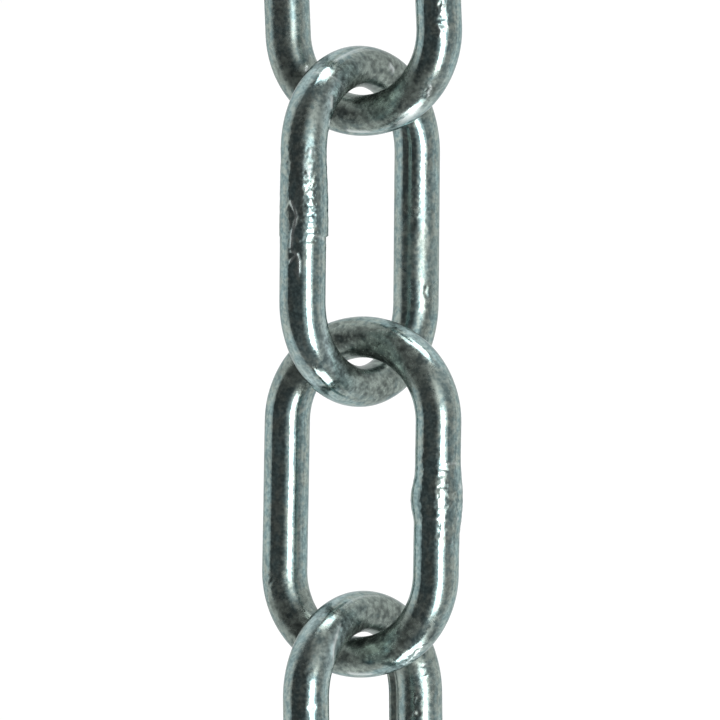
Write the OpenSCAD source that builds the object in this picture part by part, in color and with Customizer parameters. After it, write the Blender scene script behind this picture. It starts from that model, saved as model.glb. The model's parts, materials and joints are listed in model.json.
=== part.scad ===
// Short length of welded steel chain: four oval links of round wire, hooked crown in crown.
// It lies stretched out along Y, link 1 first, and the links lean to the right and to the left
// in turn. Each link lies with one straight side on the floor.

/* [Wire] */
// Diameter of the wire along the straight sides
wire_d = 5; // [4:0.1:6]
// How much thinner the bent crowns are, measured along the chain
crown_thinning = 0.5; // [0.1:0.1:1]

/* [Link] */
// Clear width between the two straight sides
inner_width = 15.6; // [13:0.2:20]
// Clear length between the two crowns
inner_length = 30.4; // [27:0.2:40]

/* [Lie of the chain] */
// Play between the hooked crowns of links 1 and 2
play_12 = 0.85; // [0.4:0.05:2]
// Play between the hooked crowns of links 2 and 3
play_23 = 0.9; // [0.4:0.05:2]
// Play between the hooked crowns of links 3 and 4
play_34 = 0.5; // [0.4:0.05:2]
// Turn of each link out of line, seen from above, in degrees
turns = [2.3, -0.5, -1, 0.6]; // [-3:0.1:3]
// Shift of each link sideways, out of line
shifts = [0, 0, 0.1, 0.4]; // [-0.5:0.1:0.5]

/* [Barrel weld] */
// How far the swelling stands proud of the wire all round
barrel_rise = 0.35; // [0.1:0.05:0.6]
// Length of the swelling along the side
barrel_length = 6; // [4:0.5:9]

/* [Stepped weld] */
// How far the upset wire end stands proud of the other one on the inside of the link
step_rise = 0.3; // [0.1:0.05:0.6]
// Length over which the upset end runs out into the wire
upset_length = 8; // [5:0.5:8]
// Distance of the step below the middle of the side
step_drop = 1.2; // [0:0.1:2]

/* [Ridged weld] */
// How far the ridge stands proud of the wire
ridge_height = 0.85; // [0.4:0.05:1.2]
// Width of the ridge
ridge_width = 2.4; // [1.6:0.1:3]
// Reach of the ridge past the end of the side onto the crown
ridge_over = 2.8; // [0:0.2:3.4]
// Reach of the ridge below the middle of the side
ridge_bottom = 3; // [1:0.5:6]
// Turn of the ridge from the inside of the link down towards the floor
ridge_turn = 53; // [30:1:70]

/* [Hidden] */

// Hooked links stand square to each other, so each leans half a right angle
lean = 45;
right_lean = -lean;
left_lean = lean - 180;

// Half width of a link to the middle of its wire
half_width = (inner_width + wire_d) / 2;
// Crowns are half rings pressed flatter along the chain
crown_ratio = (wire_d - crown_thinning) / wire_d;
// Half length of a straight side
half_side = inner_length / 2 - crown_ratio * inner_width / 2;
// Distances between the middles of hooked links
pitches = [for (play = [play_12, play_23, play_34]) inner_length - play];
// Places of the middles of the links along the chain, about the middle of its whole length
span = pitches[0] + pitches[1] + pitches[2];
places = [
    span / 2,
    span / 2 - pitches[0],
    span / 2 - pitches[0] - pitches[1],
    -span / 2
];
// Depth at which the upset wire end is sunk into the wire on the outside of the link
step_sink = 0.1;
// Height of the chain's middle line when the lower sides touch the floor
axis_height = half_width * sin(lean) + wire_d / 2;

zinc = [0.62, 0.65, 0.65];
ring_facets = 96;
wire_facets = 64;
arc_facets = 720;

// Bent end of a link: half a ring of wire, flattened along the chain
module crown() {
    translate([0, half_side, 0])
        scale([1, crown_ratio, 1])
            rotate_extrude(angle = 180, $fn = ring_facets)
                translate([half_width, 0])
                    circle(d = wire_d, $fn = wire_facets);
}

// Straight side of a link, on its upper side (1) or its lower side (-1)
module side(which) {
    on_side(which, -half_side)
        cylinder(d = wire_d, h = 2 * half_side, $fn = wire_facets);
}

// Puts a piece on the middle line of a side, with its own Z along the chain
module on_side(which, along) {
    translate([which * half_width, along, 0])
        rotate([-90, 0, 0])
            children();
}

// Link without its weld
module bent_wire() {
    crown();
    mirror([0, 1, 0])
        crown();
    side(1);
    side(-1);
}

// Solid of revolution that is widest at the height 0 and runs out in an arc
module swelling(mid_d, end_d, reach, low, high) {
    sag = (mid_d - end_d) / 2;
    arc_r = (reach * reach + sag * sag) / (2 * sag);
    rotate_extrude($fn = wire_facets)
        intersection() {
            translate([mid_d / 2 - arc_r, 0])
                circle(r = arc_r, $fn = arc_facets);
            translate([0, low])
                square([mid_d, high - low]);
        }
}

// Weld that swells evenly to both sides of the joint
module barrel_weld(which) {
    reach = barrel_length / 2;
    on_side(which, 0)
        swelling(wire_d + 2 * barrel_rise, wire_d, reach, -reach, reach);
}

// Weld where one wire end was upset and stops in a step over the other end
module stepped_weld(which) {
    upset_d = wire_d + step_rise - step_sink;
    shift = (step_rise + step_sink) / 2;
    sunk_d = wire_d - 2 * shift - step_sink;
    translate([-which * shift, 0, 0])
        on_side(which, -step_drop)
            swelling(upset_d, sunk_d, upset_length, 0, upset_length);
}

// Weld with a ridge of pressed-out metal on the lower inside
module ridged_weld(which) {
    ridge_offset = (wire_d - ridge_width) / 2 + ridge_height;
    ridge_length = ridge_bottom + half_side + ridge_over;
    on_side(which, 0)
        rotate([0, 0, which * ridge_turn])
            translate([-which * ridge_offset, 0, -ridge_bottom]) {
                cylinder(d = ridge_width, h = ridge_length, $fn = wire_facets);
                sphere(d = ridge_width, $fn = wire_facets);
                translate([0, 0, ridge_length])
                    sphere(d = ridge_width, $fn = wire_facets);
            }
}

// Sets a link down in its place, first to last from 0 to 3, leaning over by an angle
module in_chain(index, lean_angle) {
    translate([shifts[index], places[index], axis_height])
        rotate([0, 0, turns[index]])
            rotate([0, lean_angle, 0])
                children();
}

module link_1() {
    color(zinc)
        in_chain(0, right_lean) {
            bent_wire();
            barrel_weld(1);
        }
}

module link_2() {
    color(zinc)
        in_chain(1, left_lean) {
            bent_wire();
            stepped_weld(1);
        }
}

module link_3() {
    color(zinc)
        in_chain(2, right_lean) {
            bent_wire();
            barrel_weld(1);
        }
}

module link_4() {
    color(zinc)
        in_chain(3, left_lean) {
            bent_wire();
            ridged_weld(-1);
        }
}

link_1();
link_2();
link_3();
link_4();
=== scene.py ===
import json
import math

import bmesh
import bpy
import numpy as np
from bpy.props import FloatProperty, FloatVectorProperty, IntProperty, PointerProperty
from mathutils import Matrix, Vector, noise as lump_noise


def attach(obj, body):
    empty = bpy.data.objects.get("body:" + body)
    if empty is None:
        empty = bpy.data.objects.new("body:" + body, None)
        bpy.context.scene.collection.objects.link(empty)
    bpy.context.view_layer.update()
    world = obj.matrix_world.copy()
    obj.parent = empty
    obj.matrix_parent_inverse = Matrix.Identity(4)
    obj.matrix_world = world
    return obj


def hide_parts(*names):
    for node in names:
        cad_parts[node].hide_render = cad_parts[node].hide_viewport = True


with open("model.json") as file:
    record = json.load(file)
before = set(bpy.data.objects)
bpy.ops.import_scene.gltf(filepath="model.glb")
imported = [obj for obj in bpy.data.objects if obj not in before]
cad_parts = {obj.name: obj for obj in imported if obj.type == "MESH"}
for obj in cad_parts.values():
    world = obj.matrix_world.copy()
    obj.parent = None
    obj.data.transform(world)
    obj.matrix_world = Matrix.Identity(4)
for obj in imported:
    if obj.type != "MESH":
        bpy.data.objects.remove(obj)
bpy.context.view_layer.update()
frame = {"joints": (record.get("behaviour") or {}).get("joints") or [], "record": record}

bl_info = {
    "name": "Welded steel chain",
    "version": (1, 0, 0),
    "blender": (4, 5, 0),
    "location": "3D Viewport > Sidebar > Chain",
    "description": "Zinc-plated welded links, hooked one in the other, with their welds and marks",
    "category": "Object",
}

MM = 0.001
LINKS = ("link_1", "link_2", "link_3", "link_4")

# The photograph's frame, in its own pixels, and the millimetres that one pixel covers
PHOTO_SIDE = 720
MM_PER_PIXEL = 0.109
MIDDLE_OF_CHAIN = (360.3, 363.3)


# Reading the lie of the links from the frame


def hinge(number):
    """Place and axis of the hinge in the lower crown of a link, counted from 1."""
    name = f"link_{number + 1}_swing"
    joint = next(j for j in frame["joints"] if j["name"] == name)
    return Vector(joint["pos_m"]), Vector(joint["axis"])


def mount(name):
    """Place and axis of a mount of the record."""
    found = next(m for m in frame["record"]["mounts"] if m["name"] == name)
    return Vector(found["pos_m"]), Vector(found["axis"])


def lie_of_link(number, sizes):
    """Middle of a link, the angle that it leans over and its turn seen from above."""
    if number < len(LINKS):
        place, across = hinge(number)
        sideways = math.copysign(1, across.x)
        run = Vector((-across.y, across.x, 0)).normalized() * sideways
        place = place + run * sizes.middle_to_tip
    else:
        place, pull = mount("bottom_end")
        run = -pull
        place = place + run * sizes.inner_length / 2
    lean = math.radians(-45 if number % 2 else -135)
    turn = math.atan2(-run.x, run.y)
    return place, lean, turn


# Properties


class ChainSizes(bpy.types.PropertyGroup):
    wire_d: FloatProperty(name="Wire diameter", description="Diameter of the wire along the straight sides",
                          default=5 * MM, unit="LENGTH")
    crown_thinning: FloatProperty(name="Crown thinning", description="How much thinner the crowns are",
                                  default=0.5 * MM, unit="LENGTH")
    inner_width: FloatProperty(name="Inner width", description="Clear width between the straight sides",
                               default=15.6 * MM, unit="LENGTH")
    inner_length: FloatProperty(name="Inner length", description="Clear length between the crowns",
                                default=30.4 * MM, unit="LENGTH")
    rings: IntProperty(name="Rings", description="Rings of vertices along a link", default=800, min=60)
    facets: IntProperty(name="Facets", description="Vertices round the wire", default=122, min=12)

    @property
    def half_width(self):
        return (self.inner_width + self.wire_d) / 2

    @property
    def crown_ratio(self):
        return 1 - self.crown_thinning / self.wire_d

    @property
    def half_side(self):
        return self.inner_length / 2 - self.crown_ratio * self.inner_width / 2

    @property
    def middle_to_tip(self):
        return self.half_side + self.crown_ratio * self.half_width


class ChainFinish(bpy.types.PropertyGroup):
    zinc: FloatVectorProperty(name="Zinc", description="Colour of the clean plating", subtype="COLOR",
                              default=(0.262, 0.376, 0.383), min=0, max=1)
    aged_zinc: FloatVectorProperty(name="Aged zinc", description="Colour of the plating where it has aged",
                                   subtype="COLOR", default=(0.305, 0.355, 0.326), min=0, max=1)
    # Also the colour of the painted glints along some lines
    bare_steel_and_glint: FloatVectorProperty(name="Bare steel", description="Colour of scratches and rubbed edges",
                                    subtype="COLOR", default=(0.66, 0.72, 0.71), min=0, max=1)
    # Also the painted shade on the crowns' insides
    worn_and_shaded_steel: FloatVectorProperty(name="Worn steel", description="Colour of the rubbed and dirty crowns",
                                    subtype="COLOR", default=(0.2, 0.238, 0.215), min=0, max=1)
    # Lighter colour painted on the crowns' outer rims and on patches as a painted sheen
    painted_sheen: FloatVectorProperty(name="Rubbed rim", description="Colour of the crowns' rubbed outsides",
                                    subtype="COLOR", default=(0.43, 0.56, 0.57), min=0, max=1)


class ChainStage(bpy.types.PropertyGroup):
    tilt: FloatProperty(name="Tilt", description="Angle of the view off the vertical, towards the left",
                        default=math.radians(8.1), subtype="ANGLE")
    lens: FloatProperty(name="Lens", description="Focal length in millimetres", default=500, unit="CAMERA")
    top_light: FloatProperty(name="Top light", description="Brightness of the long light above", default=5)
    end_light: FloatProperty(name="End lights", description="Brightness of the lights past both ends",
                             default=5)


# Node trees written as formulas

# Numbers of a Mix node's sockets when it mixes colours: its factor, its two colours and its result
MIX_COLOUR_SLOTS = (0, 6, 7)
MIX_COLOUR_RESULT = 2


class Field:
    """A socket in a node tree. The usual signs combine fields and plain numbers into nodes."""

    def __init__(self, tree, socket):
        self.tree = tree
        self.socket = socket

    def math(self, operation, *others):
        node = self.tree.nodes.new("ShaderNodeMath")
        node.operation = operation
        for slot, value in zip(node.inputs, (self, *others)):
            plug(self.tree, value, slot)
        return Field(self.tree, node.outputs[0])

    def __add__(self, other):
        return self.math("ADD", other)

    def __sub__(self, other):
        return self.math("SUBTRACT", other)

    def __mul__(self, other):
        return self.math("MULTIPLY", other)

    def __truediv__(self, other):
        return self.math("DIVIDE", other)

    def squared(self):
        return self * self

    def root(self):
        """Square root, and 0 where the field is below 0."""
        return self.math("MAXIMUM", 0).math("SQRT")

    def larger(self, other):
        return self.math("MAXIMUM", other)

    def smaller(self, other):
        return self.math("MINIMUM", other)

    def between(self, low, high):
        """The field where it lies between two limits, and the nearer limit elsewhere."""
        return self.larger(low).smaller(high)

    def above(self, other):
        return self.math("GREATER_THAN", other)

    def eased(self, start, end):
        """0 up to start, 1 past end and a smooth rise between them."""
        node = self.tree.nodes.new("ShaderNodeMapRange")
        node.interpolation_type = "SMOOTHSTEP"
        plug(self.tree, self, node.inputs["Value"])
        plug(self.tree, start, node.inputs["From Min"])
        plug(self.tree, end, node.inputs["From Max"])
        return Field(self.tree, node.outputs["Result"])

    def xyz(self):
        node = self.tree.nodes.new("ShaderNodeSeparateXYZ")
        plug(self.tree, self, node.inputs[0])
        return [Field(self.tree, s) for s in node.outputs]


def plug(tree, value, slot):
    """Gives a socket a field or a plain value."""
    if isinstance(value, Field):
        tree.links.new(value.socket, slot)
    else:
        slot.default_value = value


def add(tree, kind, settings=None, **values):
    """Adds a node with its settings, its inputs given by name, and returns it."""
    node = tree.nodes.new(kind)
    for name, value in (settings or {}).items():
        setattr(node, name, value)
    for name, value in values.items():
        plug(tree, value, node.inputs[name.replace("_", " ")])
    return node


def out(tree, node, name=0):
    return Field(tree, node.outputs[name])


def vector(tree, x, y, z):
    return out(tree, add(tree, "ShaderNodeCombineXYZ", X=x, Y=y, Z=z))


def mix_vectors(tree, operation, first, second=None):
    """Vector operation on one or two vectors, or on a vector and the number that scales it."""
    node = add(tree, "ShaderNodeVectorMath", {"operation": operation})
    plug(tree, first, node.inputs[0])
    if second is not None:
        plug(tree, second, node.inputs["Scale" if operation == "SCALE" else 1])
    return Field(tree, node.outputs["Value" if operation == "DOT_PRODUCT" else "Vector"])


def attribute(tree, name, kind="Fac"):
    """Number or vector stored on a mesh under a name, as a shader reads it."""
    return out(tree, add(tree, "ShaderNodeAttribute", {"attribute_name": name}), kind)


def blend(tree, factor, first, second):
    """Colour that goes from the first to the second with the factor."""
    node = add(tree, "ShaderNodeMix", {"data_type": "RGBA"})
    factor_slot, first_slot, second_slot = (node.inputs[i] for i in MIX_COLOUR_SLOTS)
    plug(tree, factor, factor_slot)
    plug(tree, first, first_slot)
    plug(tree, second, second_slot)
    return Field(tree, node.outputs[MIX_COLOUR_RESULT])


def streaks(tree, wire_round, wire_lap, across, along, detail=2.0):
    """Noise from 0 to 1 in streaks along the wire, of the given width and length in metres."""
    round_x, round_y, _ = wire_round.xyz()
    lap_x, lap_y, _ = wire_lap.xyz()
    place = vector(tree, round_x / across, round_y / across, lap_x / along)
    node = add(tree, "ShaderNodeTexNoise", {"noise_dimensions": "4D"}, Vector=place, W=lap_y / along,
               Scale=1.0, Detail=detail, Roughness=0.55)
    return out(tree, node, 0)


def noise(tree, place, size, detail=2.0, roughness=0.5):
    """Noise from 0 to 1 with lumps of about the given size in metres."""
    node = add(tree, "ShaderNodeTexNoise", Scale=1 / size, Detail=detail, Roughness=roughness)
    plug(tree, place, node.inputs["Vector"])
    return out(tree, node, 0)


# The welded link

# Widths and lengths of the streaks along the wire
FINE_STREAKS = (0.45 * MM, 2.4 * MM)
BROAD_STREAKS = (1.1 * MM, 5 * MM)

# Sizes of the wire's slow swelling, of the lumps round a weld and of the ripple in the skin
SWELL_SIZE = 7 * MM
LUMP_SIZE = 0.8 * MM
RIPPLE_SIZE = 0.5 * MM

# Points round each end of a link's path, before its rings are spaced evenly
END_POINTS = 90

# A barrel weld reaches further at the outside of the link, and stands higher at its inside
BARREL_REACH_SKEW = 0.28
BARREL_RISE_SKEW = 0.18

# Slope of a fin's flanks, how far they go round the wire in radians, and how far the fin runs past the side
FIN_SLOPE = math.radians(60)
FIN_HALF_ANGLE = 0.6
RIDGE_PAST_SIDE = 2.8 * MM

# Share of the furrows' depth that the straight wire has
STRAIGHT_FURROWS = 0.15

# Vertices closer than this are one
SAME_PLACE = 0.001 * MM

# Inputs of the link's tree, with their kinds and defaults
LINK_INPUTS = (
    ("Wire Diameter", "NodeSocketFloat", 5 * MM),
    ("Half Width", "NodeSocketFloat", 10.3 * MM),
    ("Half Side", "NodeSocketFloat", 8.18 * MM),
    ("Crown Ratio", "NodeSocketFloat", 0.9),
    ("Rings", "NodeSocketInt", 800),
    ("Facets", "NodeSocketInt", 122),
    ("Place", "NodeSocketVector", (0, 0, 0)),
    ("Lean", "NodeSocketFloat", 0.0),
    ("Turn", "NodeSocketFloat", 0.0),
    ("Weld Side", "NodeSocketFloat", 1.0),
    ("Barrel Rise", "NodeSocketFloat", 0.0),
    ("Barrel Reach", "NodeSocketFloat", 3.6 * MM),
    ("Step Rise", "NodeSocketFloat", 0.0),
    ("Step Place", "NodeSocketFloat", -1.2 * MM),
    ("Step Reach", "NodeSocketFloat", 8 * MM),
    ("Ridge Height", "NodeSocketFloat", 0.0),
    ("Ridge Width", "NodeSocketFloat", 2.4 * MM),
    ("Ridge Turn", "NodeSocketFloat", 0.0),
    ("Ridge Bottom", "NodeSocketFloat", -3 * MM),
    ("Ridge Top", "NodeSocketFloat", 11 * MM),
    ("Unevenness", "NodeSocketFloat", 0.05 * MM),
    ("Ripple", "NodeSocketFloat", 0.007 * MM),
    ("Furrows", "NodeSocketFloat", 0.03 * MM),
    ("Out of Round", "NodeSocketFloat", 0.015),
    ("Weld Roughness", "NodeSocketFloat", 0.12 * MM),
    ("Weld Middle", "NodeSocketFloat", 0.0),
    ("Weld Reach", "NodeSocketFloat", 7 * MM),
    ("Material", "NodeSocketMaterial", None),
)


def link_tree():
    """Geometry nodes that sweep a link round its path and raise its weld."""
    tree = bpy.data.node_groups.new("Welded link", "GeometryNodeTree")
    for name, kind, value in LINK_INPUTS:
        socket = tree.interface.new_socket(name=name, in_out="INPUT", socket_type=kind)
        if value is not None:
            socket.default_value = value
    tree.interface.new_socket(name="Geometry", in_out="OUTPUT", socket_type="NodeSocketGeometry")
    given = tree.nodes.new("NodeGroupInput")
    size = {name: Field(tree, given.outputs[name]) for name, _, _ in LINK_INPUTS}
    wire_r = size["Wire Diameter"] * 0.5
    half_width = size["Half Width"]
    half_side = size["Half Side"]

    # Path along the middle of the wire, with round ends
    outline = add(tree, "GeometryNodeCurvePrimitiveQuadrilateral",
                  Width=half_width * 2, Height=(half_side + half_width) * 2)
    rounded = add(tree, "GeometryNodeFilletCurve", {"mode": "POLY"},
                  Curve=out(tree, outline), Count=END_POINTS, Radius=half_width, Limit_Radius=True)
    path = add(tree, "GeometryNodeResampleCurve", {"mode": "COUNT"},
               Curve=out(tree, rounded), Count=size["Rings"])
    keep = tree.nodes.new("GeometryNodeCaptureAttribute")
    keep.capture_items.new("VECTOR", "Middle")
    plug(tree, out(tree, path), keep.inputs[0])
    plug(tree, out(tree, tree.nodes.new("GeometryNodeInputPosition")), keep.inputs["Middle"])
    middle = out(tree, keep, "Middle")
    section = add(tree, "GeometryNodeCurvePrimitiveCircle", Resolution=size["Facets"], Radius=wire_r)
    wire = add(tree, "GeometryNodeCurveToMesh")
    plug(tree, out(tree, keep, 0), wire.inputs["Curve"])
    plug(tree, out(tree, section), wire.inputs["Profile Curve"])

    # Directions across the wire: out of the link, and round from its inside
    position = out(tree, tree.nodes.new("GeometryNodeInputPosition"))
    across = mix_vectors(tree, "NORMALIZE", mix_vectors(tree, "SUBTRACT", position, middle))
    x, y, _ = middle.xyz()
    side_y = y.between(half_side * -1, half_side)
    outward = mix_vectors(tree, "NORMALIZE", vector(tree, x, y - side_y, 0.0))
    inside = mix_vectors(tree, "DOT_PRODUCT", across, outward) * -1
    above = across.xyz()[2]
    around = above.math("ARCTAN2", inside)
    on_weld_side = (x * size["Weld Side"]).above(0.0)

    # Barrel weld: swells evenly to both sides of the joint
    reach = size["Barrel Reach"] * (inside * -BARREL_REACH_SKEW + 1)
    bell = (((y / reach).squared() * -1) + 1).larger(0.0)
    barrel = size["Barrel Rise"] * (inside * BARREL_RISE_SKEW + 1) * bell.squared()
    radius = wire_r + barrel * on_weld_side

    # Stepped weld: one end was upset, stands off towards the inside and stops in a step
    run = (y - size["Step Place"]) / size["Step Reach"]
    fade = (run.squared() * -1 + 1).larger(0.0) * run.above(0.0) * (y - half_side).math("LESS_THAN", 0.0)
    step = size["Step Rise"] * fade * (inside + 1) * 0.5
    radius = radius.larger(wire_r + step * on_weld_side)

    # Ridged weld: a sharp fin of pressed-out metal along the inside
    turned = (around - size["Ridge Turn"]).math("ABSOLUTE")
    past_end = (size["Ridge Bottom"] - y).larger(y - size["Ridge Top"]).larger(0.0)
    past_end = past_end / (size["Ridge Width"] * 0.5)
    crest = wire_r + size["Ridge Height"] * (past_end.squared() * -1 + 1).root()
    fin = crest * math.cos(FIN_SLOPE) / (turned * -1 + FIN_SLOPE).math("COSINE")
    has_fin = turned.math("LESS_THAN", FIN_HALF_ANGLE) * size["Ridge Height"].above(0.0) * on_weld_side
    radius = radius.larger(fin * has_fin)

    # Uneven wire, and rougher metal round the weld
    from_weld = (y - size["Weld Middle"]).math("ABSOLUTE")
    weld = from_weld.eased(size["Weld Reach"], size["Weld Reach"] * 0.5) * on_weld_side
    swell = noise(tree, position, SWELL_SIZE, detail=1.0) - 0.5
    lumps = noise(tree, position, LUMP_SIZE, detail=3.0, roughness=0.6) - 0.5
    ripple = noise(tree, position, RIPPLE_SIZE, detail=1.0) - 0.5
    radius = radius + swell * size["Unevenness"] + lumps * weld * size["Weld Roughness"]
    radius = radius + ripple * size["Ripple"]

    # Place round and along the wire without a seam, and long shallow furrows where the wire was bent
    wire_round = vector(tree, inside * wire_r, above * wire_r, 0.0)
    length = half_side * 4 + half_width * (2 * math.pi)
    lap = y.math("ARCTAN2", x)
    lap_r = length / (2 * math.pi)
    wire_lap = vector(tree, lap.math("COSINE") * lap_r, lap.math("SINE") * lap_r, 0.0)
    past_side = (y.math("ABSOLUTE") - half_side) / half_width
    bent = past_side.eased(0.1, 0.8)
    furrows = streaks(tree, wire_round, wire_lap, *BROAD_STREAKS, detail=1.0) - 0.5
    depth = bent * (1 - STRAIGHT_FURROWS) + STRAIGHT_FURROWS
    radius = radius + furrows * depth * size["Furrows"]

    # Straight wire is a little thinner in the link's plane than across it
    oval = (around * 2).math("COSINE") * (bent - 1) * size["Out of Round"]
    radius = radius * (oval + 1)

    # Crowns are pressed flatter along the chain
    swept = mix_vectors(tree, "ADD", middle, mix_vectors(tree, "SCALE", across, radius))
    swept_x, swept_y, swept_z = swept.xyz()
    kept_y = swept_y.between(half_side * -1, half_side)
    flat_y = kept_y + (swept_y - kept_y) * size["Crown Ratio"]
    placed = add(tree, "GeometryNodeSetPosition", Geometry=out(tree, wire),
                 Position=vector(tree, swept_x, flat_y, swept_z))

    # Places and masks that the marks and the finish read: worn crowns, whose insides are darkened as
    # painted shade, and their outer rims, lightened as a painted sheen
    worn_and_shaded = past_side.eased(0.05, 0.8) * inside.eased(-1.0, 0.1)
    # The outer rims carry a painted sheen
    rim_sheen = past_side.eased(0.1, 0.7) * inside.eased(-0.75, -0.97)
    marks = (
        ("middle", "FLOAT_VECTOR", middle),
        ("around", "FLOAT", around),
        ("wire_round", "FLOAT_VECTOR", wire_round),
        ("wire_lap", "FLOAT_VECTOR", wire_lap),
        ("worn_and_shaded", "FLOAT", worn_and_shaded),
        ("rim_sheen", "FLOAT", rim_sheen),
    )
    shape = out(tree, placed)
    for name, kind, value in marks:
        store = add(tree, "GeometryNodeStoreNamedAttribute", {"data_type": kind, "domain": "POINT"},
                    Geometry=shape, Name=name, Value=value)
        shape = out(tree, store)

    # The link is laid in its place
    turn = vector(tree, 0.0, size["Lean"], size["Turn"])
    rotation = add(tree, "FunctionNodeEulerToRotation", Euler=turn)
    laid = add(tree, "GeometryNodeTransform",
               Geometry=shape, Translation=size["Place"], Rotation=out(tree, rotation))
    smooth = add(tree, "GeometryNodeSetShadeSmooth", Geometry=out(tree, laid))
    real = add(tree, "GeometryNodeRealizeInstances", Geometry=out(tree, smooth))
    finished = add(tree, "GeometryNodeSetMaterial", Geometry=out(tree, real), Material=size["Material"])
    result = tree.nodes.new("NodeGroupOutput")
    plug(tree, out(tree, finished), result.inputs[0])
    return tree


def bake_tree(name, tree, values):
    """Plain mesh object made by a geometry node tree with the given inputs."""
    holder = bpy.data.objects.new(name + "_nodes", bpy.data.meshes.new(name + "_nodes"))
    bpy.context.scene.collection.objects.link(holder)
    modifier = holder.modifiers.new("Nodes", "NODES")
    modifier.node_group = tree
    for socket in tree.interface.items_tree:
        if socket.in_out == "INPUT" and socket.name in values:
            modifier[socket.identifier] = values[socket.name]
    depsgraph = bpy.context.evaluated_depsgraph_get()
    mesh = bpy.data.meshes.new_from_object(holder.evaluated_get(depsgraph))
    holder.modifiers.remove(modifier)
    bpy.data.objects.remove(holder)
    mesh.name = name
    piece = bpy.data.objects.new(name, mesh)
    bpy.context.scene.collection.objects.link(piece)
    return piece


def close_and_face_out(mesh):
    """Merges doubled vertices and turns every face outwards."""
    shell = bmesh.new()
    shell.from_mesh(mesh)
    bmesh.ops.remove_doubles(shell, verts=shell.verts, dist=SAME_PLACE)
    bmesh.ops.recalc_face_normals(shell, faces=shell.faces)
    shell.to_mesh(mesh)
    shell.free()


# What sets the weld of each link apart
WELDS = {
    "link_1": {"Weld Side": 1.0, "Barrel Rise": 0.35 * MM, "Weld Reach": 9 * MM},
    "link_2": {"Weld Side": 1.0, "Step Rise": 0.3 * MM, "Weld Middle": 3.5 * MM, "Weld Reach": 8 * MM,
               "Weld Roughness": 0.13 * MM},
    "link_3": {"Weld Side": 1.0, "Barrel Rise": 0.35 * MM},
    "link_4": {"Weld Side": -1.0, "Ridge Height": 0.85 * MM, "Ridge Turn": math.radians(53),
               "Weld Roughness": 0.04 * MM},
}
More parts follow.
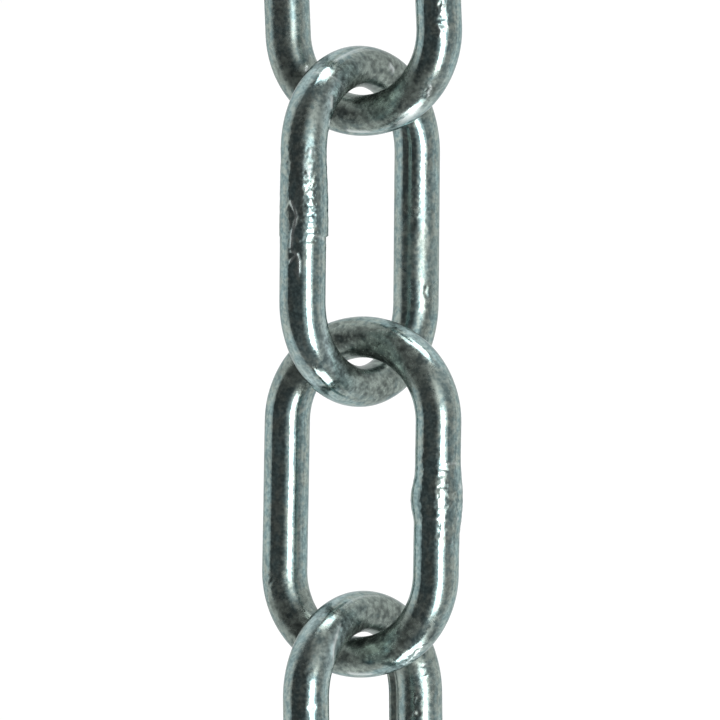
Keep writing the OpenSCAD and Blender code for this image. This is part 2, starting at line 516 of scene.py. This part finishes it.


# Marks of welding and of use pressed into the skin of the links, with painted glints, painted sheen and
# stains that carry painted shade

# A place on a link is given in millimetres along the wire, from the middle of its right-hand side, and in
# degrees round the wire, from the inside of the link. A line has a width, a height, a share of bare metal
# from 0 to 1, and its places; on some lines the bare metal is a painted glint.
LINES = {
    "link_1": (
        (0.18, 0.04, 0.5, ((-8.4, 124), (-8.8, 131), (-9.3, 127))),
        (0.15, 0.03, 0.5, ((-6.7, 136), (-7.0, 131))),
        (0.15, 0.04, 0.5, ((-6.0, 140), (-6.3, 134))),
        (0.14, -0.05, 0, ((-7.6, 126), (-7.5, 142))),
        (0.14, -0.05, 0, ((-8.1, 128), (-8.3, 143))),
        (0.16, 0.05, 0.5, ((-14.6, 132), (-14.9, 141), (-15.3, 137), (-15.7, 146))),
        (0.14, -0.05, 0, ((-15.2, 130), (-15.9, 139))),
        (0.16, 0.04, 0.9, ((-34.6, 33), (-35.1, 27))),
        # Painted glints and a wide painted highlight on link 1's lower crown
        (0.28, 0.03, 1.0, ((-25.4, 112), (-24.6, 115), (-23.4, 122))),
        (0.8, 0, 1.0, ((-18.1, 144), (-19.7, 139))),
        (0.14, 0, 0.5, ((-23.2, 130), (-21.5, 150), (-19.5, 163))),
    ),
    "link_2": (
        (0.3, 0.06, 0.5, ((7.85, -125),)),
        (0.24, 0.05, 0.5, ((6.3, -128), (5.4, -131))),
        (0.16, 0.05, 0.5, ((3.4, -133), (3.5, -122))),
        (0.16, 0.05, 0.5, ((2.7, -124),)),
        (0.12, -0.05, 0, ((2.2, -112), (2.05, -146))),
        (0.12, -0.05, 0, ((1.6, -114), (1.45, -144))),
        (0.12, -0.05, 0, ((1.05, -112), (0.9, -148))),
        (0.12, -0.05, 0, ((0.35, -112), (0.5, -146))),
        (0.12, -0.05, 0, ((-0.2, -112), (-0.3, -146))),
        (0.14, -0.06, 0, ((-0.8, -108), (-0.9, -150))),
        (0.16, -0.07, 0, ((-1.75, -112), (-1.85, -148))),
        (0.16, 0.04, 0.5, ((-1.2, -116), (-1.5, -84))),
        (0.17, 0.09, 1.0, ((2.4, -174), (1.6, -165), (0.9, -160), (-0.1, -165), (-1.0, -171),
                           (-2.4, -173))),
        (0.14, 0.08, 1.0, ((-2.9, -173), (-3.2, -158), (-4.0, -153), (-5.2, -153))),
        (0.13, 0.07, 0.9, ((-3.2, -158), (-4.05, -176))),
        (0.11, 0.05, 0.5, ((-4.9, -165), (-5.6, -154))),
        (0.28, 0.03, 0.12, ((7.4, -144), (2.7, -146))),
        (0.3, -0.02, 0, ((48.0, -30), (49.5, -35))),
        (0.2, -0.05, 0, ((-42.3, -64), (-41.6, -60), (-40.9, -70))),
        (0.3, -0.08, 0, ((26.3, -66),)),
        # Painted glints and streaks of reflected light on link 2's crowns, some on raised dents
        (0.2, 0, 0.9, ((18.1, 170), (18.9, -172))),
        (0.14, 0, 0.4, ((16.5, -178), (18.1, 172), (20.5, 178))),
        (0.2, 0, 0.9, ((-18.9, 158), (-19.5, 172))),
        (0.14, 0, 0.4, ((-19.5, 172), (-21.5, -176), (-24.0, -172))),
        (0.22, 0.03, 0.6, ((18.8, -136), (20.5, -129), (22.9, -127), (24.2, -139))),
        (0.16, 0, 0.35, ((19.7, -127), (22.0, -118), (24.5, -116))),
        (0.26, 0.1, 1.0, ((26.2, -72), (26.7, -66))),
        (0.24, 0.06, 1.0, ((14.6, -90), (13.7, -80))),
        (0.24, 0.06, 1.0, ((12.1, -67), (11.5, -63))),
    ),
    "link_3": (
        (0.14, 0.06, 0.5, ((3.85, 146), (3.9, 177))),
        (0.14, -0.05, 0, ((3.3, 126), (3.2, 150))),
        (0.14, 0.04, 0.5, ((2.9, 128), (3.0, 140))),
        (0.14, -0.06, 0, ((1.3, 130), (1.35, 160))),
        (0.14, -0.06, 0, ((-0.85, 124), (-0.8, 165))),
        (0.14, 0.05, 0.5, ((-2.15, 104), (-2.15, 127))),
        # Raised dots on link 3's weld, made bare as painted glints
        (0.34, 0.07, 0.9, ((1.4, -166),)),
        (0.18, -0.14, 0, ((1.4, -166),)),
        (0.15, 0.08, 1.0, ((-1.0, -164),)),
        (0.15, 0.08, 1.0, ((-2.1, -174),)),
        (0.15, 0.08, 1.0, ((-2.35, -152),)),
        (0.14, 0.06, 0.5, ((-4.6, 168),)),
        (0.14, -0.06, 0, ((0.6, 170),)),
        (0.14, -0.06, 0, ((-3.2, 176),)),
        # Painted glints on link 3's crowns
        (0.34, 0.03, 1.0, ((-24.2, 115), (-23.4, 121), (-22.3, 131))),
        (0.15, 0, 0.7, ((22.3, 162), (21.2, 170), (19.8, 176))),
        (0.15, 0.06, 0.5, ((-15.9, 155), (-16.4, 163), (-16.9, 158), (-17.3, 168))),
        (0.14, 0.06, 0.5, ((-18.2, 165), (-19.0, 178), (-19.9, 172))),
        (0.14, -0.06, 0, ((-16.6, 150), (-18.6, 160))),
        (0.18, -0.05, 0, ((-39.4, 84), (-38.8, 96))),
    ),
    "link_4": (
        (0.3, -0.06, 0, ((7.3, -133), (7.4, -124))),
        (0.3, -0.05, 0, ((11.1, -146), (11.3, -136))),
        (0.15, 0.05, 0.5, ((36.4, -63), (36.5, -53))),
        (0.18, -0.08, 0, ((41.0, -33), (41.5, -29))),
        (0.16, 0.06, 0.5, ((42.5, -24), (42.8, -17))),
        (0.2, -0.08, 0, ((42.7, -33),)),
        (0.14, -0.05, 0, ((38.0, -58), (38.1, -46))),
        # Bare lines on link 4's crown that lighten it as painted glints, and a painted streak
        (0.12, 0.03, 0.8, ((17.6, -99), (16.2, -93))),
        (0.2, 0.05, 1.0, ((16.2, -93), (14.5, -87), (13.7, -78))),
        (0.12, 0.03, 0.8, ((13.7, -78), (12.6, -64))),
        (0.2, 0, 0.35, ((20.0, -126), (22.5, -118), (25.0, -112))),
    ),
}

# A rough patch has its place, its half length, its half width in degrees, a height and a size of lump
ROUGH_PATCHES = {
    "link_1": ((-6.3, 132, 2.4, 28, 0.05, 0.45), (-15.2, 136, 1.1, 25, 0.06, 0.45),
               (-43, 80, 8, 60, 0.012, 0.45)),
    "link_2": ((4.6, -128, 4.3, 26, 0.06, 0.4), (-44, -62, 7, 30, 0.016, 0.45),
               (46, -50, 5, 40, 0.014, 0.45)),
    "link_3": ((-1.0, -170, 4.0, 30, 0.06, 0.45), (0.5, 135, 5.0, 30, 0.03, 0.6),
               (-17.8, 168, 2.6, 22, 0.08, 0.5), (-39.5, 90, 2.5, 50, 0.02, 0.45)),
    "link_4": ((9.5, -138, 3.5, 30, 0.02, 0.7), (38.5, -50, 5, 35, 0.012, 0.45)),
}

# A dull patch has its place, its half length, its half width in degrees and a strength
DULL_PATCHES = {
    "link_1": ((-45, 70, 14, 150, 0.6), (-14.5, 138, 1.5, 60, 0.7), (-15.3, 147, 1.3, 22, 0.9),
               (-20.6, 160, 2, 18, 0.9), (20.5, 160, 2, 18, 0.9)),
    "link_2": ((50, -50, 5, 90, 0.5), (-44, -60, 7, 90, 0.5), (11, -125, 3.0, 50, 0.7),
               (6.4, -128, 2.6, 24, 0.9), (18.3, 174, 2.2, 22, 0.9), (-18.6, 170, 2.2, 22, 0.9)),
    "link_3": ((-38, 90, 4, 90, 0.6), (-11.9, 150, 2.5, 50, 0.4), (12.5, 150, 2.5, 50, 0.8),
               (-14.5, 157, 1.2, 20, 0.8), (-20.0, 158, 2, 20, 0.9), (20.0, 160, 2, 20, 0.9)),
    "link_4": ((38, -30, 8, 120, 0.6), (13.5, -125, 3, 60, 0.9), (18.3, 174, 2.2, 22, 0.9),
               (-18.6, 170, 2.2, 22, 0.9), (44, 53, 8, 22, 0.7)),
}

# A darkened patch, partly dirt in dents and partly painted shade over highlights, has its place, its half
# length, its half width in degrees and a strength
STAINS_AND_SHADE = {
    "link_1": ((-15.3, 146, 1.3, 20, 1.15), (-17.2, 152, 0.5, 6, 0.4), (-46, 49, 12, 11, 1.15),
               (-5, 131, 7, 8, 0.7)),
    "link_2": ((48.7, -31, 0.95, 8, 0.9), (-42.3, -64, 0.4, 5, 0.5), (4.0, -114, 3.0, 8, 0.5),
               (11.5, -134, 4, 28, 0.4), (24, -100, 6, 36, 0.3)),
    "link_3": ((-14.6, 158, 1.2, 20, 1.1), (-39.1, 90, 0.5, 6, 0.5)),
    "link_4": ((7.3, -128, 0.4, 8, 0.4), (41.2, -31, 0.5, 5, 0.6), (42.7, -33, 0.3, 4, 0.6),
               (13.5, -135, 4, 32, 0.4), (24, -100, 6, 36, 0.12)),
}

# A patch of painted sheen, a lighter colour that stands in for reflected light, has its place, its half
# length, its half width in degrees and a strength
EVEN_LINKS_SHEEN = (
    (18.3, 172, 1.9, 18, 1.2), (-18.6, 168, 2.0, 18, 1.2), (21.8, -176, 2.4, 18, 0.3),
    (15.2, -86, 4.2, 20, 0.9), (-15.2, -86, 4.6, 20, 0.9),
)
SHEEN_PATCHES = {
    "link_1": ((-20.0, 158, 1.8, 18, 1.0), (21, 160, 2.0, 16, 0.8)),
    "link_2": EVEN_LINKS_SHEEN,
    "link_3": ((20.0, 160, 1.8, 18, 1.0), (-20.0, 158, 1.8, 18, 1.0)),
    "link_4": EVEN_LINKS_SHEEN,
}

# Faintest part of a rough patch that is still worked, and its lumps' roughness, spacing and octaves
FAINTEST = 0.02
LUMPS = (0.6, 2.0, 3)


class Skin:
    """Skin of a link's mesh, with each vertex's place along the wire and round it in millimetres."""

    def __init__(self, mesh, sizes):
        self.mesh = mesh
        count = len(mesh.vertices)
        self.place = np.empty(count * 3, np.float32)
        mesh.vertices.foreach_get("co", self.place)
        self.place = self.place.reshape(-1, 3)
        self.normal = np.empty(count * 3, np.float32)
        mesh.vertices.foreach_get("normal", self.normal)
        self.normal = self.normal.reshape(-1, 3)
        middle = np.empty(count * 3, np.float32)
        mesh.attributes["middle"].data.foreach_get("vector", middle)
        x, y, _ = middle.reshape(-1, 3).T
        around = np.empty(count, np.float32)
        mesh.attributes["around"].data.foreach_get("value", around)
        side = sizes.half_side
        bend = sizes.half_width
        along = np.where(x > 0, y, 2 * side + math.pi * bend - y)
        along = np.where(y > side, side + bend * np.arctan2(y - side, x), along)
        lower = 3 * side + math.pi * bend + bend * np.arctan2(-y - side, -x)
        self.along = np.where(y < -side, lower, along) / MM
        self.wire_r = sizes.wire_d / 2 / MM
        self.around = around * self.wire_r
        self.lap = (4 * side + 2 * math.pi * bend) / MM
        self.turn = 2 * math.pi * self.wire_r
        self.height = np.zeros(count)
        self.bare_and_glint = np.zeros(count)

    def offset(self, along, around):
        """Distances of every vertex from a place, the shorter way round."""
        reach = (self.along - along + self.lap / 2) % self.lap - self.lap / 2
        swing = self.around - math.radians(around) * self.wire_r
        swing = (swing + self.turn / 2) % self.turn - self.turn / 2
        return reach, swing

    def near(self, along, around, half_length, half_angle):
        """Mask that is 1 at a place and falls off round it."""
        reach, swing = self.offset(along, around)
        return np.exp(-(reach / half_length) ** 2 - (swing / (math.radians(half_angle) * self.wire_r)) ** 2)

    def line(self, width, height, bare_and_glint, places):
        """Raises or sinks a thin line through the places and rubs it bare, which on some lines is a painted
        glint.
        """
        nearest = np.full(len(self.height), np.inf)
        for start, end in zip(places, places[1:] or places):
            reach, swing = self.offset(*start)
            run = end[0] - start[0]
            rise = math.radians(end[1] - start[1]) * self.wire_r
            share = np.clip((reach * run + swing * rise) / max(run * run + rise * rise, 1e-9), 0, 1)
            nearest = np.minimum(nearest, (reach - share * run) ** 2 + (swing - share * rise) ** 2)
        near = np.exp(-nearest / width ** 2)
        self.height += height * near
        self.bare_and_glint = np.maximum(self.bare_and_glint, bare_and_glint * near)

    def patch(self, along, around, half_length, half_angle, height, lump):
        """Makes the skin lumpy round a place."""
        mask = self.near(along, around, half_length, half_angle)
        for i in np.flatnonzero(mask > FAINTEST):
            spot = Vector(self.place[i]) / (lump * MM)
            self.height[i] += lump_noise.fractal(spot, *LUMPS) * mask[i] * height

    def finish(self, dull, stained_and_shaded, sheen_patch):
        """Moves the vertices and stores how dull and bare the metal is, where glints and sheen are painted
        on it, and where stains and painted shade darken it.
        """
        moved = self.place + self.normal * (self.height * MM)[:, None].astype(np.float32)
        self.mesh.vertices.foreach_set("co", moved.ravel())
        for name, mask in (("dull", dull), ("bare_and_glint", self.bare_and_glint), ("stain_and_shade", stained_and_shaded), ("sheen_patch", sheen_patch)):
            layer = self.mesh.attributes.new(name, "FLOAT", "POINT")
            layer.data.foreach_set("value", np.clip(mask, 0, 1).astype(np.float32))
        self.mesh.update()


def mark(mesh, node, sizes):
    """Puts all the marks of a link on its mesh."""
    skin = Skin(mesh, sizes)
    for line in LINES[node]:
        skin.line(*line)
    for patch in ROUGH_PATCHES[node]:
        skin.patch(*patch)
    tables = (DULL_PATCHES, STAINS_AND_SHADE, SHEEN_PATCHES)
    skin.finish(*(sum(skin.near(*patch[:4]) * patch[4] for patch in table[node]) for table in tables))


# Finish

# Sizes of the light and dark spots in the plating, from its grain up, and the depth of the grain
GRAIN = 0.36 * MM
PATCH = 0.8 * MM
BLOTCH = 1.5 * MM
CLOUD = 3 * MM
GRAIN_DEPTH = 0.006 * MM

# How much speckle, the mottling of worn crowns, stains with painted shade and the painted sheen on rims
# change the colour
SPECKLE = 0.62
MOTTLE = 0.55
STAIN_AND_SHADE = 0.7
RIM_SHEEN = 0.22

# Roughness of the smoothest plating, and what grain, dullness, wear and bare metal add to it
SMOOTHEST = 0.1
ROUGH_GRAIN = 0.07
ROUGH_DULL = 0.28
ROUGH_WORN = 0.12
ROUGH_BARE = 0.15


def zinc_material(finish):
    """Zinc-plated steel, mottled and streaked along the wire, worn on the crowns and marked in places, with
    painted shade on the crowns' insides and painted sheen and glints.
    """
    material = bpy.data.materials.new("zinc_plated_steel")
    material.use_nodes = True
    tree = material.node_tree
    shader = tree.nodes["Principled BSDF"]
    place = out(tree, tree.nodes.new("ShaderNodeTexCoord"), "Object")
    grain = noise(tree, place, GRAIN, detail=2.0, roughness=0.55)
    patch = noise(tree, place, PATCH, detail=1.0)
    blotch = noise(tree, place, BLOTCH, detail=2.0, roughness=0.55)
    cloud = noise(tree, place, CLOUD, detail=2.0)
    wire_round = attribute(tree, "wire_round", "Vector")
    wire_lap = attribute(tree, "wire_lap", "Vector")
    drawn = streaks(tree, wire_round, wire_lap, *FINE_STREAKS)
    drawn_broad = streaks(tree, wire_round, wire_lap, *BROAD_STREAKS)
    masks = ("worn_and_shaded", "rim_sheen", "dull", "bare_and_glint", "stain_and_shade", "sheen_patch")
    worn_and_shaded, rim_sheen, dull, bare_and_glint, stain_and_shade, sheen_patch = (attribute(tree, name) for name in masks)

    # Wear on the crowns, and painted shade on their insides where the links meet
    uneven = (cloud - 0.5) * 0.7 + (blotch - 0.5) + (drawn_broad - 0.5) * 1.1 + (patch - 0.5) * 0.5
    wear_and_shade = (worn_and_shaded * 0.9 + uneven).eased(0.1, 0.85) * worn_and_shaded.eased(0.0, 0.35)

    # Colour
    tone = grain * 0.2 + patch * 0.25 + blotch * 0.25 + drawn_broad * 0.3
    aged = (tone + worn_and_shaded * 0.06 + dull * 0.05).eased(0.42, 0.6)
    colour = blend(tree, aged, (*finish.zinc, 1), (*finish.aged_zinc, 1))
    # Painted shade: the crowns' insides take the darker worn colour, and dull patches darken a little
    # towards it
    colour = blend(tree, wear_and_shade * 0.8 + dull * 0.3, colour, (*finish.worn_and_shaded_steel, 1))
    speckle = (grain * 0.4 + patch * 0.25 + drawn * 0.25 + blotch * 0.1).eased(0.38, 0.62) - 0.5
    mottle = (patch * 0.45 + blotch * 0.35 + drawn_broad * 0.2).eased(0.38, 0.62) - 0.5
    light_and_dark = speckle * SPECKLE + mottle * worn_and_shaded * MOTTLE + 1
    # Painted sheen: the rims and the sheen patches are lightened towards a paler colour
    colour = blend(tree, (rim_sheen * RIM_SHEEN + sheen_patch).smaller(0.85), colour, (*finish.painted_sheen, 1))
    # Painted shade: stains darken the colour, partly as dirt and partly over the highlights
    colour = mix_vectors(tree, "SCALE", colour, light_and_dark * (stain_and_shade * -STAIN_AND_SHADE + 1))
    # Painted glints: lines of bare metal, some of them standing in for glints
    colour = blend(tree, bare_and_glint, colour, (*finish.bare_steel_and_glint, 1))
    plug(tree, colour, shader.inputs["Base Color"])

    # Gloss, duller where the metal is worn, bare or dirty
    plug(tree, wear_and_shade * -0.16 + grain.eased(0.45, 0.65) * -0.03 + 0.985, shader.inputs["Metallic"])
    shader.inputs["Specular Tint"].default_value = (0.6, 0.63, 0.63, 1)
    rough = (grain * 0.5 + patch * 0.5).eased(0.4, 0.7) * ROUGH_GRAIN + SMOOTHEST
    rough = rough + dull * ROUGH_DULL + wear_and_shade * ROUGH_WORN + bare_and_glint * ROUGH_BARE
    plug(tree, rough, shader.inputs["Roughness"])
    bump = add(tree, "ShaderNodeBump", Distance=GRAIN_DEPTH, Strength=1.0, Height=grain)
    tree.links.new(bump.outputs[0], shader.inputs["Normal"])
    return material


# Stage

# Depth of the floor under the chain and half its side
FLOOR_DEPTH = 90 * MM
FLOOR_REACH = 20

# The floor is white up to the first distance and fades up to the second, later along the chain, a painted
# pool of light
WHITE_REACH = 450 * MM
FADED_REACH = 1500 * MM
FAR_FLOOR = 0.66
COUNT_ALONG = 0.7

# Shares of the floor's white that the lights give and that it has of itself
MATT_SHARE = 0.29
GLOW_SHARE = 0.76

# A light above has a name, the directions of its ends, in degrees to the right and up the chain, a width in
# degrees and a share of the top light's brightness
LIGHT_DISTANCE = 0.6
TOP_LIGHTS = (
    ("top_light", (20.5, -42), (17.5, 13), 22, 1.0),
    ("top_fill", (17.5, 13), (13.5, 40), 22, 0.12),
    ("side_fill", (39.5, -40), (33.5, 20), 12, 0.12),
)

# A light past an end of the chain runs between these directions, mirrored for the other end
END_LIGHT_LEFT = (-0.10, 0.99, 0.05)
END_LIGHT_RIGHT = (0.45, 0.87, 0.19)
END_LIGHT_WIDTH = 22

# Brightness of the room all over, towards the right, low on the right, past the ends and by the top light
ROOM = 0.1
ROOM_RIGHT = 0.32
ROOM_LOW_RIGHT = 0.4
ROOM_ENDS = 0.1
ROOM_SPILL = 0.8

# Width of the camera's sensor in millimetres, and how far the camera sees in metres
SENSOR_WIDTH = 36
SIGHT = 100


def stage_floor():
    """Pale floor well below the chain, so that the links clear it when they swing down, white near the
    chain and greyer far off as a painted pool of light.
    """
    mesh = bpy.data.meshes.new("floor")
    sides = ((-1, -1), (1, -1), (1, 1), (-1, 1))
    corners = [(x * FLOOR_REACH, y * FLOOR_REACH, -FLOOR_DEPTH) for x, y in sides]
    mesh.from_pydata(corners, [], [(0, 1, 2, 3)])
    floor = bpy.data.objects.new("floor", mesh)
    bpy.context.scene.collection.objects.link(floor)
    material = bpy.data.materials.new("white_floor")
    material.use_nodes = True
    tree = material.node_tree
    tree.nodes.remove(tree.nodes["Principled BSDF"])
    place = out(tree, tree.nodes.new("ShaderNodeTexCoord"), "Object")
    x, y, _ = place.xyz()
    away = (x.squared() + (y * COUNT_ALONG).squared()).root()
    # Painted pool of light: the floor's colour and glow fade from white near the chain to grey far off
    painted_light_pool = (away.eased(WHITE_REACH, FADED_REACH) * -1 + 1) * (1 - FAR_FLOOR) + FAR_FLOOR
    shade = vector(tree, painted_light_pool * MATT_SHARE, painted_light_pool * MATT_SHARE, painted_light_pool * MATT_SHARE)
    matt = add(tree, "ShaderNodeBsdfDiffuse", Color=shade)
    glow = tree.nodes.new("ShaderNodeEmission")
    light_path = tree.nodes.new("ShaderNodeLightPath")
    seen = out(tree, light_path, "Is Camera Ray")
    seen = seen + out(tree, light_path, "Is Glossy Ray")
    seen = seen + out(tree, light_path, "Is Transmission Ray")
    plug(tree, seen.smaller(1.0) * painted_light_pool * GLOW_SHARE, glow.inputs["Strength"])
    both = tree.nodes.new("ShaderNodeAddShader")
    tree.links.new(matt.outputs[0], both.inputs[0])
    tree.links.new(glow.outputs[0], both.inputs[1])
    tree.links.new(both.outputs[0], tree.nodes["Material Output"].inputs["Surface"])
    mesh.materials.append(material)


def toward(across, along):
    """Direction that leans off the vertical by two angles in degrees: to the right and up the chain."""
    return Vector((math.tan(math.radians(across)), math.tan(math.radians(along)), 1)).normalized()


def soft_light(name, low, high, width, brightness):
    """Rectangular light whose middle line runs between two directions, its width given in degrees."""
    middle = (low + high).normalized()
    length = 2 * LIGHT_DISTANCE * math.tan(low.angle(high) / 2)
    breadth = 2 * LIGHT_DISTANCE * math.tan(math.radians(width) / 2)
    data = bpy.data.lights.new(name, "AREA")
    data.shape = "RECTANGLE"
    data.size = breadth
    data.size_y = length
    data.energy = brightness * breadth * length * math.pi
    lamp = bpy.data.objects.new(name, data)
    bpy.context.scene.collection.objects.link(lamp)
    long_way = (high - low).normalized()
    long_way = (long_way - middle * long_way.dot(middle)).normalized()
    turn = Matrix((long_way.cross(middle), long_way, middle)).transposed()
    lamp.matrix_world = Matrix.Translation(middle * LIGHT_DISTANCE) @ turn.to_4x4()
    lamp.visible_camera = False


def studio_world():
    """Room round the chain: dark on the left, paler towards the right, with a pale horizon."""
    world = bpy.data.worlds.new("studio")
    bpy.context.scene.world = world
    world.use_nodes = True
    tree = world.node_tree
    background = tree.nodes["Background"]
    direction = out(tree, tree.nodes.new("ShaderNodeTexCoord"), "Generated")
    background.inputs["Color"].default_value = (1, 1, 1, 1)
    x, y, z = direction.xyz()
    along = y.math("ABSOLUTE")
    right = x.eased(-0.35, 0.9) * ROOM_RIGHT
    low_right = x.eased(0.5, 0.95) * z.eased(0.45, 0.0) * ROOM_LOW_RIGHT
    horizon = z.eased(0.06, 0.02) * FAR_FLOOR
    ends = along.eased(0.5, 0.9) * ROOM_ENDS
    lean = x / z.larger(0.05)
    spill = lean.eased(-0.49, 0.11).squared() * lean.eased(0.95, 0.57) * along.eased(0.8, 0.55) * ROOM_SPILL
    level = right + low_right + ends + spill + ROOM
    plug(tree, level.larger(horizon), background.inputs["Strength"])


def camera(settings):
    """Camera that looks down on the chain with the photograph's frame."""
    data = bpy.data.cameras.new("camera")
    data.lens = settings.lens
    data.sensor_width = SENSOR_WIDTH
    data.clip_end = SIGHT
    cam = bpy.data.objects.new("camera", data)
    bpy.context.scene.collection.objects.link(cam)
    tilt = settings.tilt
    right = Vector((math.cos(tilt), 0, math.sin(tilt)))
    up = Vector((0, 1, 0))
    back = Vector((-math.sin(tilt), 0, math.cos(tilt)))
    axis_height = hinge(1)[0].z
    pixel = MM_PER_PIXEL * MM
    off_x = (PHOTO_SIDE / 2 - MIDDLE_OF_CHAIN[0]) * pixel
    off_y = (MIDDLE_OF_CHAIN[1] - PHOTO_SIDE / 2) * pixel
    aim = Vector((0, 0, axis_height)) + right * off_x + up * off_y
    distance = PHOTO_SIDE * pixel * settings.lens / SENSOR_WIDTH
    turn = Matrix((right, up, back)).transposed()
    cam.matrix_world = Matrix.Translation(aim + back * distance) @ turn.to_4x4()
    bpy.context.scene.camera = cam


# Operators


class CHAIN_OT_links(bpy.types.Operator):
    """Make the welded links in their places along the chain"""

    bl_idname = "chain.links"
    bl_label = "Welded links"

    def execute(self, context):
        sizes = context.scene.chain_sizes
        material = zinc_material(context.scene.chain_finish)
        tree = link_tree()
        for number, node in enumerate(LINKS, 1):
            place, lean, turn = lie_of_link(number, sizes)
            values = {
                "Wire Diameter": sizes.wire_d,
                "Half Width": sizes.half_width,
                "Half Side": sizes.half_side,
                "Crown Ratio": sizes.crown_ratio,
                "Rings": sizes.rings,
                "Facets": sizes.facets,
                "Place": place,
                "Lean": lean,
                "Turn": turn,
                "Material": material,
                "Ridge Top": sizes.half_side + RIDGE_PAST_SIDE,
                **WELDS[node],
            }
            piece = bake_tree("welded_" + node, tree, values)
            close_and_face_out(piece.data)
            mark(piece.data, node, sizes)
            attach(piece, node)
            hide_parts(node)
        return {"FINISHED"}


class CHAIN_OT_stage(bpy.types.Operator):
    """Lay the floor, set the lights and aim the camera"""

    bl_idname = "chain.stage"
    bl_label = "Stage"

    def execute(self, context):
        settings = context.scene.chain_stage
        context.scene.view_settings.view_transform = "Standard"
        camera(settings)
        stage_floor()
        studio_world()
        for name, low, high, width, share in TOP_LIGHTS:
            soft_light(name, toward(*low), toward(*high), width, settings.top_light * share)
        for name, side in (("far_end_light", 1), ("near_end_light", -1)):
            ends = (END_LIGHT_LEFT, END_LIGHT_RIGHT)
            left, right = (Vector((x, side * y, z)).normalized() for x, y, z in ends)
            soft_light(name, left, right, END_LIGHT_WIDTH, settings.end_light)
        return {"FINISHED"}


class CHAIN_PT_panel(bpy.types.Panel):
    bl_idname = "CHAIN_PT_panel"
    bl_label = "Welded chain"
    bl_space_type = "VIEW_3D"
    bl_region_type = "UI"
    bl_category = "Chain"

    def draw(self, context):
        layout = self.layout
        for settings in (context.scene.chain_sizes, context.scene.chain_finish, context.scene.chain_stage):
            for name in settings.__annotations__:
                layout.prop(settings, name)
        for operator in (CHAIN_OT_links, CHAIN_OT_stage):
            layout.operator(operator.bl_idname)


CLASSES = (ChainSizes, ChainFinish, ChainStage, CHAIN_OT_links, CHAIN_OT_stage, CHAIN_PT_panel)


def register():
    for cls in CLASSES:
        bpy.utils.register_class(cls)
    bpy.types.Scene.chain_sizes = PointerProperty(type=ChainSizes)
    bpy.types.Scene.chain_finish = PointerProperty(type=ChainFinish)
    bpy.types.Scene.chain_stage = PointerProperty(type=ChainStage)


def unregister():
    del bpy.types.Scene.chain_sizes
    del bpy.types.Scene.chain_finish
    del bpy.types.Scene.chain_stage
    for cls in reversed(CLASSES):
        bpy.utils.unregister_class(cls)


def main():
    register()
    bpy.ops.chain.stage()
    bpy.ops.chain.links()


if __name__ == "__main__":
    main()
